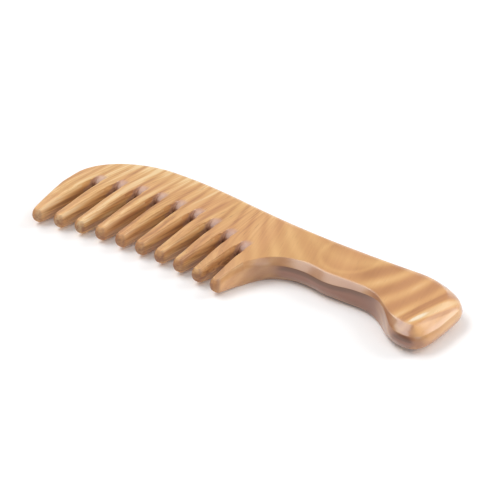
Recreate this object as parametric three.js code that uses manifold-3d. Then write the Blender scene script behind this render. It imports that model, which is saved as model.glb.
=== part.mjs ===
// A wooden wide-tooth comb with a handle, lying flat on one face.
// Millimetres. +X runs from the head to the handle, +Y from the tooth tips to the back, +Z is up.
// The origin is under the middle of the comb's box, on the surface that the comb lies on.
// The back, the handle and each tooth are separate pieces of wood: every tooth has a tenon that is
// glued into a mortise in the back, and the back has a tongue that is glued into the handle.

import * as THREE from "three";
import { mergeVertices } from "three/addons/utils/BufferGeometryUtils.js";
import Module from "manifold-3d";

// Overall sizes: the width runs from the crest of the back to the lowest tooth tip.
const WIDTH = 59.6;
const THICKNESS = 10.2;

// Lengths along the comb, which add up to its overall length.
const TOOTH_COUNT = 10;
const TOOTH_PITCH = 10.2;
const FIRST_TOOTH_SETBACK = 8.9; // head end to the middle of the first tooth's root
const NECK_LENGTH = 21.8; // middle of the last tooth's root to the hollow of the neck
const GRIP_LENGTH = 25.5; // hollow of the neck to the hollow before the flared end
const FLARE_LENGTH = 37; // hollow before the flared end to the handle's end

// Back
const CREST_SETBACK = 36; // head end to the crest of the back
const HEAD_END_DROP = 26; // crest down to the outermost point of the head
const BACK_DEPTH = 24.6; // crest down to the highest gap root
const ROOT_ARC_CREST = 3.2; // the gap roots lie on an arc: its crest, counted in teeth after the first
const ROOT_ARC_DROP = 12.3; // that crest down to the last gap's root

// Teeth
const TOOTH_ROOT_WIDTH = 6.0;
const TOOTH_TIP_WIDTH = 5.4;
const TOOTH_LEAN = 1.5; // how far a tip lies nearer to the head than its tooth's root
const TOOTH_TIP_THICKNESS = 4.8;
const TOOTH_TIP_SINK = 0.9; // how far the middle of a tip lies below the middle of the board
const TIP_ROUND_LENGTH = 2.8;
const TIP_ARC_CREST = 4.2; // the tips lie on an arc: its crest, counted in teeth after the first
const TIP_ARC_DROP = 5.3; // that crest down to the last tip
const GAP_ROOT_LENGTH = 4.5; // length of a gap's rounded root
const TOOTH_BEVEL = 0.7;
const TIP_BEVEL = 1.5;
const FIRST_TIP_SLANT = 0.2; // sideways run of the head's side for each unit down, at the first tip
const SCOOP_BEVEL = 2.6;
const SCOOP_LENGTH = 6.2; // a scooped ramp leads from each gap's root up to the face

// Handle
const HANDLE_DROP = 10.7; // crest down to the handle's back edge
const NECK_WIDTH = 24.4; // handle's back edge to the hollow of the neck
const SWELL_WIDTH = 26.1; // the same to the swell of the grip
const GRIP_WIDTH = 25.3; // the same to the hollow before the flared end
const FLARE_WIDTH = 40; // the same to the lowest corner of the flared end
const END_DROP = 15; // handle's back edge down to the outermost point of the handle
const FLARE_CORNER_SETBACK = 8.4; // handle's end to the lowest corner of the flared end
const END_ROUND_LENGTH = 24; // length over which the back edge rounds into the handle's end
const EDGE_BEVEL = 3.1;
const FLARE_BEVEL = 4.4;
const END_BEVEL = 8;

// Edge profile, as shares of the half thickness and of the bevel
const WALL_SHARE = 0.5; // height of the upright wall
const FACE_SHARE = 0.15; // part of the bevel's width that already belongs to the face
const CORNER_POWER = 8; // higher is crisper

// Fullness of the outline's curves: how far the tangents at their two ends reach, as shares of the
// span. A quarter ellipse has 0.55, and more is squarer.
const HEAD_SIDE_FULLNESS = [0.25, 0.25];
const NECK_SIDE_FULLNESS = [0.6, 0.62];
const GRIP_FULLNESS = [0.4, 0.4];
const FLARE_FULLNESS = [0.46, 0.28];
const END_CORNER_FULLNESS = [0.8, 0.6];
const END_ROUND_FULLNESS = [0.6, 0.56];
const BACK_FULLNESS = [0.6, 0.31];
const HEAD_BACK_FULLNESS = [0.56, 0.54];
const TIP_FULLNESS = [0.7, 0.7];
const GAP_ROOT_FULLNESS = [0.55, 0.55];

// Joints
const GLUE_LINE = 0.1; // between two faces that meet
const SHOULDER_DROP = 0.5; // start of a gap's rounded root down to the tooth's shoulder
const TENON_LENGTH = 8;
const TENON_WIDTH = 3.2;
const TENON_THICKNESS = 4;
const TENON_FIT = 0.15; // clearance on each side of a tenon or tongue, and at its end
const NECK_JOINT_SETBACK = 19.8; // middle of the last tooth's root to the joint of back and handle
const TONGUE_LENGTH = 14;
const TONGUE_WIDTH = 14;
const TONGUE_THICKNESS = 4;

// Facets
const EDGE_STEPS = 4; // rings from the middle of an edge to the face
const RIM_STEP = 3.2; // longest step along the rim
const FEWEST_CURVE_STEPS = 4;

const MERGE_DISTANCE = 1e-4;

// Finish
const WOOD_TONES = [0xd9ae7c, 0xd2a676, 0xe0b06c, 0xcfa070, 0xd4a574];
const WAXED_ROUGHNESS = 0.42;

// Places that follow from the sizes
const OVERALL_LENGTH =
  FIRST_TOOTH_SETBACK + (TOOTH_COUNT - 1) * TOOTH_PITCH + NECK_LENGTH + GRIP_LENGTH + FLARE_LENGTH;
const HEAD_X = -OVERALL_LENGTH / 2;
const END_X = OVERALL_LENGTH / 2;
const CREST_Y = WIDTH / 2;
const HANDLE_BACK_Y = CREST_Y - HANDLE_DROP;
const LAST_TOOTH_X = HEAD_X + FIRST_TOOTH_SETBACK + (TOOTH_COUNT - 1) * TOOTH_PITCH;
const NECK_X = LAST_TOOTH_X + NECK_LENGTH;
const NECK_JOINT_X = LAST_TOOTH_X + NECK_JOINT_SETBACK;
const HALF_GAP = (TOOTH_PITCH - TOOTH_ROOT_WIDTH) / 2;
const MARGIN = 3; // length that a raw piece has beyond the cut that ends it

const at = (x, y) => new THREE.Vector2(x, y);
const toothX = (i) => HEAD_X + FIRST_TOOTH_SETBACK + i * TOOTH_PITCH;
const tipX = (i) => toothX(i) - TOOTH_LEAN;

// How far an arc over the row of teeth has come down from its crest at x, if it comes down by the drop
// at the last tooth or gap. Crest and last are counted in teeth after the first.
function arcSag(x, crest, last, drop) {
  const span = (last - crest) * TOOTH_PITCH;
  const radius = (span * span + drop * drop) / (2 * drop);
  const offset = x - toothX(crest);
  return radius - Math.sqrt(radius * radius - offset * offset);
}

const lastTooth = TOOTH_COUNT - 1;
const lastGap = lastTooth - 0.5;
const gapRootY = (x) => CREST_Y - BACK_DEPTH - arcSag(x, ROOT_ARC_CREST, lastGap, ROOT_ARC_DROP);
const gapStartY = (x) => gapRootY(x) - GAP_ROOT_LENGTH;
const tipSag = (x) => arcSag(x, TIP_ARC_CREST, lastTooth, TIP_ARC_DROP);
const LOWEST_TIP_SAG = Math.max(tipSag(toothX(0)), tipSag(LAST_TOOTH_X));
const tipY = (i) => LOWEST_TIP_SAG - tipSag(toothX(i)) - WIDTH / 2;

// Height of tooth i's shoulder at x: a straight line between the middles of its two gaps.
function shoulderY(i, x) {
  const left = toothX(i) - TOOTH_PITCH / 2;
  const right = toothX(i) + TOOTH_PITCH / 2;
  const share = (x - left) / TOOTH_PITCH;
  return THREE.MathUtils.lerp(gapStartY(left), gapStartY(right), share) - SHOULDER_DROP;
}

const wasm = await Module();
wasm.setup();

// A geometry as a solid that can be joined and cut.
function solid(geometry) {
  const bare = geometry.clone();
  bare.deleteAttribute("normal");
  bare.deleteAttribute("uv");
  const merged = mergeVertices(bare, MERGE_DISTANCE);
  const triVerts = new Uint32Array(merged.index.array);
  const vertProperties = merged.attributes.position.array;
  return new wasm.Manifold(new wasm.Mesh({ numProp: 3, vertProperties, triVerts }));
}

// The finished piece of wood as a named mesh.
function woodPiece(name, shape, tone) {
  const { vertProperties, triVerts } = shape.getMesh();
  const geometry = new THREE.BufferGeometry();
  geometry.setAttribute("position", new THREE.BufferAttribute(vertProperties, 3));
  geometry.setIndex(new THREE.BufferAttribute(triVerts, 1));
  const finish = { color: tone, roughness: WAXED_ROUGHNESS, metalness: 0, flatShading: true };
  const material = new THREE.MeshStandardMaterial(finish);
  const mesh = new THREE.Mesh(geometry, material);
  mesh.name = name;
  return mesh;
}

// An upright prism on a plan outline, taller than the comb both ways.
function prism(points) {
  const geometry = new THREE.ExtrudeGeometry(new THREE.Shape(points), {
    depth: 3 * THICKNESS,
    bevelEnabled: false,
  });
  return solid(geometry.translate(0, 0, -THICKNESS));
}

// A block between two corners in plan, at mid-thickness.
function block(low, high, thickness) {
  const geometry = new THREE.BoxGeometry(high.x - low.x, high.y - low.y, thickness);
  geometry.translate((low.x + high.x) / 2, (low.y + high.y) / 2, THICKNESS / 2);
  return solid(geometry);
}

// A point of the edge profile: how far in from the rim, as a share of the bevel, and how high, as a
// share of the half thickness. Wall, chamfer and face are three straight lines blended by a power mean.
function edgePoint(angle) {
  const slope = (1 - WALL_SHARE) / (1 - FACE_SHARE);
  const gauge = (x, z) => {
    const chamfer = (z + slope * x) / (1 + slope * FACE_SHARE);
    return (x ** CORNER_POWER + z ** CORNER_POWER + chamfer ** CORNER_POWER) ** (1 / CORNER_POWER);
  };
  const x = Math.cos(angle);
  const z = Math.sin(angle);
  const size = gauge(x, z);
  return { inset: 1 - (x / size) * gauge(1, 0), height: (z / size) * gauge(0, 1) };
}

// A place on the rim, with the direction in which an anticlockwise rim passes it and the bevel there.
const station = (place, heading, bevel) => ({ place, heading: heading.clone().normalize(), bevel });

// A rim point, with the cut that its bevel makes into the wood.
function rimPoint({ place, heading, bevel }) {
  return { place, cut: at(-heading.y, heading.x).multiplyScalar(bevel) };
}

// Rim points along a cubic curve between two stations. The last one is left out.
function rimCurve(start, end, fullness) {
  const span = end.place.clone().sub(start.place);
  const leave = fullness[0] * Math.abs(span.dot(start.heading));
  const arrive = fullness[1] * Math.abs(span.dot(end.heading));
  const curve = new THREE.CubicBezierCurve(
    start.place,
    start.place.clone().addScaledVector(start.heading, leave),
    end.place.clone().addScaledVector(end.heading, -arrive),
    end.place,
  );
  const steps = Math.max(FEWEST_CURVE_STEPS, Math.ceil(curve.getLength() / RIM_STEP));
  return Array.from({ length: steps }, (_, j) => {
    const share = THREE.MathUtils.smoothstep(j, 0, steps);
    const bevel = THREE.MathUtils.lerp(start.bevel, end.bevel, share);
    return rimPoint(station(curve.getPoint(j / steps), curve.getTangent(j / steps), bevel));
  });
}

// A closed form with bevelled edges on an anticlockwise rim. Its half thickness and the height of its
// middle are linear functions of the place in plan, so both faces are flat. The two middle rings straddle
// the middle of the edge by half a step each.
function bevelledForm(rim, halfThickness, middle) {
  const count = rim.length;
  const ring = (k, side) => {
    const { inset, height } = edgePoint((Math.PI / 2) * ((k + 0.5) / (EDGE_STEPS + 0.5)));
    return rim.map(({ place, cut }) => {
      const { x, y } = place.clone().addScaledVector(cut, inset);
      return new THREE.Vector3(x, y, middle(x, y) + side * height * halfThickness(x, y));
    });
  };
  const levels = [...Array(EDGE_STEPS + 1).keys()];
  const rings = [...levels.toReversed().map((k) => ring(k, -1)), ...levels.map((k) => ring(k, 1))];
  const index = [];
  for (let level = 0; level < rings.length - 1; level++) {
    for (let i = 0; i < count; i++) {
      const a = level * count + i;
      const b = level * count + ((i + 1) % count);
      index.push(a, b, b + count, a, b + count, a + count);
    }
  }
  const top = (rings.length - 1) * count;
  for (const [a, b, c] of THREE.ShapeUtils.triangulateShape(rings.at(-1), [])) {
    index.push(top + a, top + b, top + c, a, c, b);
  }
  const geometry = new THREE.BufferGeometry().setFromPoints(rings.flat());
  return solid(geometry.setIndex(index));
}

const LEFT = at(-1, 0);
const RIGHT = at(1, 0);
const UP = at(0, 1);
const DOWN = at(0, -1);

// The straight side of tooth i from its gap's root to its tip: side -1 is the head's side, 1 the
// handle's. Its stations lie a length below the root, or above it if the length is negative.
function toothWall(i, side) {
  const gapX = toothX(i) + (side * TOOTH_PITCH) / 2;
  const root = at(gapX - side * HALF_GAP, gapStartY(gapX));
  const tip = at(tipX(i) + (side * TOOTH_TIP_WIDTH) / 2, tipY(i) + TIP_ROUND_LENGTH);
  const down = tip.clone().sub(root).normalize();
  const heading = down.clone().multiplyScalar(-side);
  const below = (length) => station(root.clone().addScaledVector(down, length), heading, TOOTH_BEVEL);
  return { below, tip: station(tip, heading, TOOTH_BEVEL) };
}

// Outline of the comb, anticlockwise from the head's outermost point, without its row of teeth.
const headEnd = station(at(HEAD_X, CREST_Y - HEAD_END_DROP), DOWN, EDGE_BEVEL);
const crest = station(at(HEAD_X + CREST_SETBACK, CREST_Y), LEFT, EDGE_BEVEL);
const neck = station(at(NECK_X, HANDLE_BACK_Y - NECK_WIDTH), RIGHT, EDGE_BEVEL);
const swell = station(at(NECK_X + GRIP_LENGTH / 2, HANDLE_BACK_Y - SWELL_WIDTH), RIGHT, EDGE_BEVEL);
const grip = station(at(END_X - FLARE_LENGTH, HANDLE_BACK_Y - GRIP_WIDTH), RIGHT, EDGE_BEVEL);
const flareCornerX = END_X - FLARE_CORNER_SETBACK;
const flareCorner = station(at(flareCornerX, HANDLE_BACK_Y - FLARE_WIDTH), RIGHT, FLARE_BEVEL);
const handleEnd = station(at(END_X, HANDLE_BACK_Y - END_DROP), UP, END_BEVEL);
const endRound = station(at(END_X - END_ROUND_LENGTH, HANDLE_BACK_Y), LEFT, EDGE_BEVEL);
const firstTip = station(toothWall(0, -1).tip.place, at(FIRST_TIP_SLANT, -1), TOOTH_BEVEL);
const lastTip = toothWall(lastTooth, 1).tip;

const headSide = rimCurve(headEnd, firstTip, HEAD_SIDE_FULLNESS);
const neckSide = rimCurve(lastTip, neck, NECK_SIDE_FULLNESS);
const handleAndBack = [
  ...rimCurve(neck, swell, GRIP_FULLNESS),
  ...rimCurve(swell, grip, GRIP_FULLNESS),
  ...rimCurve(grip, flareCorner, FLARE_FULLNESS),
  ...rimCurve(flareCorner, handleEnd, END_CORNER_FULLNESS),
  ...rimCurve(handleEnd, endRound, END_ROUND_FULLNESS),
  ...rimCurve(endRound, crest, BACK_FULLNESS),
  ...rimCurve(crest, headEnd, HEAD_BACK_FULLNESS),
];

// Rim points round the root of the gap after tooth i, with a scoop that runs on into the back.
function gapRim(i) {
  const x = toothX(i) + TOOTH_PITCH / 2;
  const rise = station(at(x - HALF_GAP, gapStartY(x)), UP, TOOTH_BEVEL);
  const root = station(at(x, gapRootY(x)), RIGHT, SCOOP_BEVEL);
  const fall = station(at(x + HALF_GAP, gapStartY(x)), DOWN, TOOTH_BEVEL);
  const arch = [...rimCurve(rise, root, GAP_ROOT_FULLNESS), ...rimCurve(root, fall, GAP_ROOT_FULLNESS)];
  arch.forEach(({ cut }, j) => {
    cut.y += SCOOP_LENGTH * Math.sin((Math.PI * j) / arch.length) ** 2;
  });
  return [...arch, rimPoint(fall)];
}

// Rim points round the tip of tooth i.
function tipRim(i) {
  const left = station(toothWall(i, -1).tip.place, DOWN, TOOTH_BEVEL);
  const end = station(at(tipX(i), tipY(i)), RIGHT, TIP_BEVEL);
  const right = station(toothWall(i, 1).tip.place, UP, TOOTH_BEVEL);
  return [...rimCurve(left, end, TIP_FULLNESS), ...rimCurve(end, right, TIP_FULLNESS), rimPoint(right)];
}

// The back and the handle as one board, with short stubs where the teeth go on.
function board() {
  const stub = SHOULDER_DROP + MARGIN;
  const stubEnd = (i, side) => rimPoint(toothWall(i, side).below(stub));
  const rim = headSide.filter(({ place }) => place.y > shoulderY(0, place.x) - MARGIN);
  for (let i = 0; i < lastTooth; i++) {
    rim.push(stubEnd(i, 1), ...gapRim(i), stubEnd(i + 1, -1));
  }
  rim.push(...neckSide.filter(({ place }) => place.y > shoulderY(lastTooth, place.x) - MARGIN));
  rim.push(...handleAndBack);
  const half = () => THICKNESS / 2;
  return bevelledForm(rim, half, half);
}

// The plan of tooth i below its shoulder. The end teeth reach out past the comb's outline.
function toothZone(i) {
  const endReach = TOOTH_PITCH + MARGIN;
  const left = toothX(i) - (i === 0 ? endReach : TOOTH_PITCH / 2);
  const right = toothX(i) + (i === lastTooth ? endReach : TOOTH_PITCH / 2);
  const shoulder = [at(right, shoulderY(i, right)), at(left, shoulderY(i, left))];
  return [at(left, -WIDTH), at(right, -WIDTH), ...shoulder];
}

// A tooth without its tenon: tapered in width and in thickness from its shoulder to its tip.
function toothForm(i) {
  const length = shoulderY(i, toothX(i)) - tipY(i);
  const taper = (THICKNESS - TOOTH_TIP_THICKNESS) / 2;
  const down = (px, py) => (shoulderY(i, px) - py) / length;
  const halfThickness = (px, py) => THICKNESS / 2 - taper * down(px, py);
  const middle = (px, py) => THICKNESS / 2 - TOOTH_TIP_SINK * down(px, py);
  const wall = (side) => [rimPoint(toothWall(i, side).below(-MARGIN))];
  const below = ({ place }) => place.y < shoulderY(i, place.x) + 2 * MARGIN;
  const left = i === 0 ? headSide.filter(below) : wall(-1);
  const right = i === lastTooth ? neckSide.filter(below).slice(1) : wall(1);
  const form = bevelledForm([...left, ...tipRim(i), ...right], halfThickness, middle);
  return form.intersect(prism(toothZone(i)));
}

// The tenon of tooth i, or with a clearance the mortise that it fits.
function tenon(i, clearance) {
  const x = toothX(i);
  const y = shoulderY(i, x);
  const half = TENON_WIDTH / 2 + clearance;
  const low = at(x - half, y - MARGIN);
  const high = at(x + half, y + TENON_LENGTH + clearance);
  return block(low, high, TENON_THICKNESS + 2 * clearance);
}

// The tongue of the back, or with a clearance the socket in the handle that it fits.
function tongue(clearance) {
  const y = HANDLE_BACK_Y - NECK_WIDTH / 2;
  const half = TONGUE_WIDTH / 2 + clearance;
  const low = at(NECK_JOINT_X - MARGIN, y - half);
  const high = at(NECK_JOINT_X + TONGUE_LENGTH + clearance, y + half);
  return block(low, high, TONGUE_THICKNESS + 2 * clearance);
}

// Everything on the handle's side of x.
function beyondJoint(x) {
  const far = END_X + MARGIN;
  return prism([at(x, -WIDTH), at(far, -WIDTH), at(far, WIDTH), at(x, WIDTH)]);
}

const comb = new THREE.Group();
const blank = board();

let back = blank.subtract(beyondJoint(NECK_JOINT_X - GLUE_LINE));
for (let i = 0; i < TOOTH_COUNT; i++) {
  const raised = toothZone(i).map(({ x, y }) => at(x, y + GLUE_LINE));
  back = back.subtract(prism(raised)).subtract(tenon(i, TENON_FIT));
}
comb.add(woodPiece("back", back.add(tongue(0)), WOOD_TONES[0]));

const handle = blank.intersect(beyondJoint(NECK_JOINT_X)).subtract(tongue(TENON_FIT));
comb.add(woodPiece("handle", handle, WOOD_TONES[1]));

for (let i = 0; i < TOOTH_COUNT; i++) {
  const name = `tooth_${String(i + 1).padStart(2, "0")}`;
  const tone = WOOD_TONES[i % WOOD_TONES.length];
  comb.add(woodPiece(name, toothForm(i).add(tenon(i, 0)), tone));
}

export default comb;
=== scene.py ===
"""The finished look of a wooden wide-tooth comb that lies flat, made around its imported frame.

Metres. +X runs from the head to the handle, +Y from the tooth tips to the back, +Z is up.
"""
from collections import namedtuple

import bmesh
import bpy
import numpy as np
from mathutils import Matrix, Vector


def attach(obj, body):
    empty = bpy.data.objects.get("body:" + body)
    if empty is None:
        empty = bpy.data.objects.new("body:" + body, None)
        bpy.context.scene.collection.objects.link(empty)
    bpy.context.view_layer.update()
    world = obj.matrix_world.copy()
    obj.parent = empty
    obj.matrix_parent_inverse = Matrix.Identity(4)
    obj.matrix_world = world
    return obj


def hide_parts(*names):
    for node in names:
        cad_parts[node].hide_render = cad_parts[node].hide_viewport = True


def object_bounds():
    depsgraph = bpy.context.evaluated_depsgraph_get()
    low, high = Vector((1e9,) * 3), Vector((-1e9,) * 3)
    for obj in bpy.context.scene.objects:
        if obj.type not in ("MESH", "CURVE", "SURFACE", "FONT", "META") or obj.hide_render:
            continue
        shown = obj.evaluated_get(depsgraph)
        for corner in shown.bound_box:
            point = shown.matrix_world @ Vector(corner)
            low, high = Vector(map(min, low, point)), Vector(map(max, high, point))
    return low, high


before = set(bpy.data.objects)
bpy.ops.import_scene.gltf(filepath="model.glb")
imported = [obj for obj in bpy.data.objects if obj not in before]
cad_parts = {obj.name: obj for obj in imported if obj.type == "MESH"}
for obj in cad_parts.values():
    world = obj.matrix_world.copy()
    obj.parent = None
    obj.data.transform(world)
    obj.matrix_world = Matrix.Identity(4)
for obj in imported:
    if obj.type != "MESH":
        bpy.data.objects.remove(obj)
cad_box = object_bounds()

MM = 0.001

# Sizes of the comb, as its pieces were built, but with thicker tooth tips
WIDTH = 59.6 * MM
THICKNESS = 10.2 * MM
TOOTH_COUNT = 10
TOOTH_PITCH = 10.2 * MM
FIRST_TOOTH_SETBACK = 8.9 * MM
NECK_LENGTH = 21.8 * MM
GRIP_LENGTH = 25.5 * MM
FLARE_LENGTH = 37 * MM
CREST_SETBACK = 36 * MM
HEAD_END_DROP = 26 * MM
BACK_DEPTH = 24.6 * MM
ROOT_ARC_CREST = 3.2  # place of the arc's crest, counted in teeth
ROOT_ARC_DROP = 12.3 * MM
TOOTH_ROOT_WIDTH = 6.0 * MM
TOOTH_TIP_WIDTH = 5.4 * MM
TOOTH_LEAN = 1.5 * MM
TOOTH_TIP_THICKNESS = 5.4 * MM
TOOTH_TIP_SINK = 0.9 * MM
TIP_ROUND_LENGTH = 2.8 * MM
TIP_ARC_CREST = 4.2  # counted in teeth too
TIP_ARC_DROP = 5.3 * MM
GAP_ROOT_LENGTH = 4.5 * MM
SHOULDER_DROP = 0.5 * MM
FIRST_TIP_SLANT = 0.2  # how far the head's side leans in, for each unit down to the tip
HANDLE_DROP = 10.7 * MM
NECK_WIDTH = 24.4 * MM
SWELL_WIDTH = 26.1 * MM
GRIP_WIDTH = 25.3 * MM
FLARE_WIDTH = 40 * MM
END_DROP = 15 * MM
FLARE_CORNER_SETBACK = 8.4 * MM
END_ROUND_LENGTH = 24 * MM
NECK_JOINT_SETBACK = 19.8 * MM

# Bevels, from the rim to the edge of the face
EDGE_BEVEL = 3.1 * MM
TOOTH_BEVEL = 0.7 * MM
TIP_SIDE_BEVEL = 1.2 * MM
TIP_BEVEL = 1.6 * MM
ROOT_BEVEL = 0.6 * MM
GRIP_BEVEL = 2.3 * MM
FLARE_BEVEL = 5 * MM
FLARE_SLIMNESS = 0.78  # how much of the bevel is gone where the flare's hollow side is thinnest
FLARE_SLIM_PLACE = 0.4  # share of the way from the grip to the flare's corner where that is
END_BEVEL = 6.7 * MM

# Edge profile, as shares of the half thickness and of the bevel
WALL_SHARE = 0.5  # height of the wall
FACE_SHARE = 0.15  # part of a soft edge's bevel that is level already
WALL_BULGE = 0.13  # how far the wall's corner lies in from its middle, as a share of the bevel
CRISP_CURVE = 1.06  # 1 is a straight chamfer, and more is rounder towards the face
SOFT_POWER = 2.7  # more is less round

# How soft an edge is, from crisp to well rounded
GRIP_SOFTNESS = 0.0
TOOTH_SOFTNESS = 0.35
TIP_SIDE_SOFTNESS = 0.85
TIP_SOFTNESS = 0.95
BACK_SOFTNESS = 1.0
FLARE_SOFTNESS = 0.25
END_SOFTNESS = 0.25

# Scoop that runs from a gap's root up to the face, on both faces
SCOOP_DEPTH = 4.3 * MM
SCOOP_HALF_WIDTH = 2.2 * MM
SCOOP_FLANK = 0.4 * MM  # width of its steep flanks
SCOOP_LEVEL = 0.3 * MM  # it is level this far past the root, and then climbs
SCOOP_LENGTH = 7.4 * MM
SCOOP_ROUND = 1.6 * MM  # its far end is this much longer in the middle than at its sides
SCOOP_RUN_OUT = 0.06  # share of a tooth's length in which its flanks end below the shoulder

# Fullness of the outline's curves: how far their end tangents reach, as shares of the span
HEAD_SIDE_FULLNESS = (0.25, 0.25)
NECK_SIDE_FULLNESS = (0.6, 0.62)
GRIP_FULLNESS = (0.4, 0.4)
FLARE_FULLNESS = (0.6, 0.42)
END_CORNER_FULLNESS = (0.95, 0.66)
END_ROUND_FULLNESS = (0.6, 0.56)
BACK_FULLNESS = (0.6, 0.31)
HEAD_BACK_FULLNESS = (0.56, 0.54)
TIP_FULLNESS = (0.62, 0.62)
GAP_ROOT_FULLNESS = (0.9, 0.9)

# Hand finishing
SANDING_WAVE = 0.035 * MM  # depth of the shallow waves that sanding leaves on the faces
SANDING_WAVE_LENGTH = 21 * MM
SANDING_SINES = ((4.1, 1.7, 0.6), (2.3, -3.4, 1.9))  # turn of each along X, along Y, and at the start
TOOTH_CROWN = 0.16 * MM  # how far a tooth's face falls towards its sides
TAPER_POWER = 1.2  # a tooth thins slowly at first

# Mesh steps
EDGE_RINGS = 16
WALL_RINGS = 5
RING_CROWDING = 1.7  # rings lie closer together at the wall's corner
RING_SHARES = (0, 0.16, 0.46, 0.58, 0.92, 1)  # rings of the soft profile crowd where it turns
RING_ANGLES = (0, 21, 32, 75, 86, 90)
BACK_FACE_COLUMNS = 36
BACK_FACE_CROWDING = 1.7  # columns lie closer together near the gaps
HANDLE_FACE_COLUMNS = 12
TOOTH_FACE_COLUMNS = 8
SHOULDER_POINTS = 13
ARCH_POINTS = 21
WALL_POINTS = 42
TIP_POINTS = 20
CURVE_POINTS = 90
HANDLE_POINTS = 330
HEAD_FAN_POINTS = 60
SKEW_REACH = 3 * MM
WELD_DISTANCE = 1e-7
SHARP_ANGLE = np.radians(52)

# Rings of an edge over which the painted shade on a gap's sides fades out
PAINTED_GAP_SHADE_RINGS = (4, 10)
ROOT_SHADE = 1.0  # how much more painted shade the end of a gap gets than its sides
# Painted shade at the scoops' deep ends
SCOOP_END_SHADE = 1.7
SCOOP_END_FROM = 0.55  # share of the scoop's depth at which the painted shade of its deep end begins
SCOOP_END_FADE = 0.4

# Edge wear, with a painted highlight, spreads over these rings round the wall's corner, and on teeth round
# the edge of the face
EDGE_WEAR_AND_HIGHLIGHT = 0.5
WEAR_HIGHLIGHT_SPREAD = 1.2
TOOTH_WEAR_HIGHLIGHT_RING = 12.5
TOOTH_WEAR_HIGHLIGHT_SPREAD = 1.9
TOOTH_WEAR_AND_HIGHLIGHT = 1.7

# Share of a tooth's length where its matt tip begins
MATT_TIP_START = 0.7

# Scoops are half matt wood, with a painted pinkish reflection, from this depth on
SCOOP_MARK_DEPTH = 0.35 * MM
MATT_SCOOP = 0.5

# Places that follow from the sizes
LAST_TOOTH = TOOTH_COUNT - 1
OVERALL_LENGTH = FIRST_TOOTH_SETBACK + LAST_TOOTH * TOOTH_PITCH + NECK_LENGTH + GRIP_LENGTH + FLARE_LENGTH
HEAD_X = -OVERALL_LENGTH / 2
END_X = OVERALL_LENGTH / 2
CREST_Y = WIDTH / 2
HANDLE_BACK_Y = CREST_Y - HANDLE_DROP
HALF_GAP = (TOOTH_PITCH - TOOTH_ROOT_WIDTH) / 2

# How far the smooth outline shrinks to stay inside the frame's faceted one
FRAME_FIT = np.min(np.abs(np.array(cad_box)[:, :2]) / (OVERALL_LENGTH / 2, WIDTH / 2), axis=0)

LEFT = (-1, 0)
RIGHT = (1, 0)
UP = (0, 1)
DOWN = (0, -1)

Station = namedtuple("Station", "place heading bevel soft")
Rim = namedtuple("Rim", "place cut soft")
Edge = namedtuple("Edge", "place cut inset height")


def tooth_x(i):
    return HEAD_X + FIRST_TOOTH_SETBACK + i * TOOTH_PITCH


def tip_x(i):
    return tooth_x(i) - TOOTH_LEAN


NECK_X = tooth_x(LAST_TOOTH) + NECK_LENGTH
NECK_JOINT_X = tooth_x(LAST_TOOTH) + NECK_JOINT_SETBACK


def arc_sag(x, crest, last, drop):
    """Fall of an arc over the row of teeth at x: R - sqrt(R^2 - (x - crest)^2), R from span and drop."""
    span = (last - crest) * TOOTH_PITCH
    radius = (span**2 + drop**2) / (2 * drop)
    return radius - np.sqrt(radius**2 - (x - tooth_x(crest)) ** 2)


def gap_root_y(x):
    return CREST_Y - BACK_DEPTH - arc_sag(x, ROOT_ARC_CREST, LAST_TOOTH - 0.5, ROOT_ARC_DROP)


def tip_sag(x):
    return arc_sag(x, TIP_ARC_CREST, LAST_TOOTH, TIP_ARC_DROP)


def tip_y(i):
    lowest = max(tip_sag(tooth_x(0)), tip_sag(tooth_x(LAST_TOOTH)))
    return lowest - tip_sag(tooth_x(i)) - WIDTH / 2


def shoulder_y(i, x):
    """Height of tooth i's shoulder at x: the chord between its two gaps, a little below their roots."""
    left = tooth_x(i) - TOOTH_PITCH / 2
    right = tooth_x(i) + TOOTH_PITCH / 2
    share = (x - left) / TOOTH_PITCH
    chord = gap_root_y(left) + share * (gap_root_y(right) - gap_root_y(left))
    return chord - GAP_ROOT_LENGTH - SHOULDER_DROP


def station(x, y, heading, bevel, soft):
    """A place on the rim, the direction in which an anticlockwise rim passes it, its bevel and softness."""
    heading = np.array(heading, float)
    return Station(np.array([x, y]), heading / np.linalg.norm(heading), bevel, soft)


def unit(vectors):
    """Vectors scaled to length one. Those without length stay as they are."""
    length = np.linalg.norm(vectors, axis=-1, keepdims=True)
    return vectors / np.where(length > 0, length, 1)


def inward(heading):
    """Headings turned a quarter turn to the left, into the wood of an anticlockwise rim."""
    return np.stack([-heading[..., 1], heading[..., 0]], axis=-1)


def smooth(share):
    """Eases from 0 to 1 while the share goes from 0 to 1, as t * t * (3 - 2t)."""
    t = np.clip(share, 0, 1)
    return t * t * (3 - 2 * t)


def bezier(a, b, c, d, t):
    """Cubic curve through a and d that leaves towards b and arrives from c, at the shares t."""
    return (1 - t) ** 3 * a + 3 * t * (1 - t) ** 2 * b + 3 * t**2 * (1 - t) * c + t**3 * d


def rim_curve(start, end, fullness, count):
    """Rim between two stations: a cubic curve, with the cut of its bevel along the normal.

    Bevel and softness go smoothly from one station's to the other's.
    """
    span = end.place - start.place
    leave = start.place + fullness[0] * abs(span @ start.heading) * start.heading
    arrive = end.place - fullness[1] * abs(span @ end.heading) * end.heading
    t = np.linspace(0, 1, count)[:, None]
    place = bezier(start.place, leave, arrive, end.place, t)
    slope = (1 - t) ** 2 * (leave - start.place) + 2 * t * (1 - t) * (arrive - leave)
    slope = slope + t**2 * (end.place - arrive)
    bevel = start.bevel + (end.bevel - start.bevel) * smooth(t)
    soft = start.soft + (end.soft - start.soft) * smooth(t)
    return Rim(place, inward(unit(slope)) * bevel, soft)


def join(*rims):
    """Rims one after the other, with the place that two of them share kept once."""
    kept = [Rim(*(part[:-1] for part in rim)) for rim in rims[:-1]] + [rims[-1]]
    return Rim(*(np.concatenate(parts) for parts in zip(*kept)))


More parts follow.
